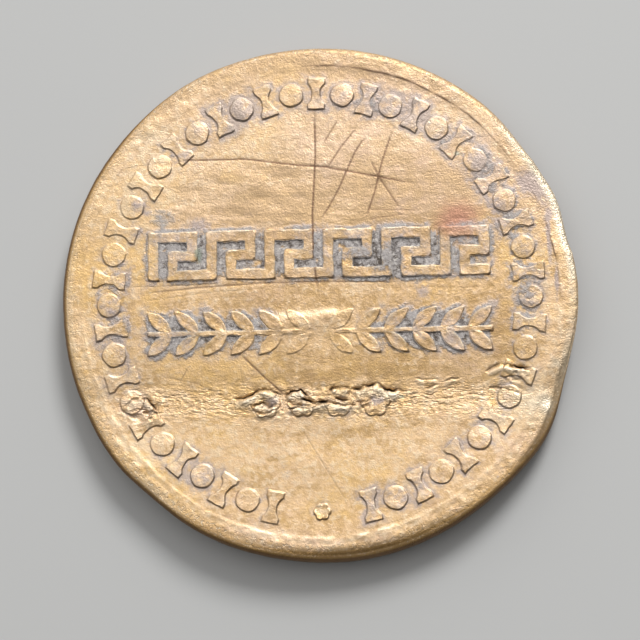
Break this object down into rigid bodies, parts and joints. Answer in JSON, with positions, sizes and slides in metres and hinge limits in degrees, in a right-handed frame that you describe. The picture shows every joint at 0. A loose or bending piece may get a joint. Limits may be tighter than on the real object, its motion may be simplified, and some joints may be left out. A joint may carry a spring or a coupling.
{
  "type": "trade token",
  "caption": "Round struck brass token with a raised rim on both faces, a plain rounded edge and a low ornamental relief on its upper face.",
  "frame": {"origin": "on the disc's axis, in the plane of the lower rim's land, the flat ring that the token rests on", "axes": "+Z out of the face with the relief; +Y towards the top of the relief, away from the stop in the border ring"},
  "size_m": [0.028, 0.028, 0.0019],
  "materials": {
    "brass": "worn satin brass with a tan patina and grey grime in the recesses"
  },
  "bodies": {
    "root": {"token": "brass"}
  },
  "joints": []
}
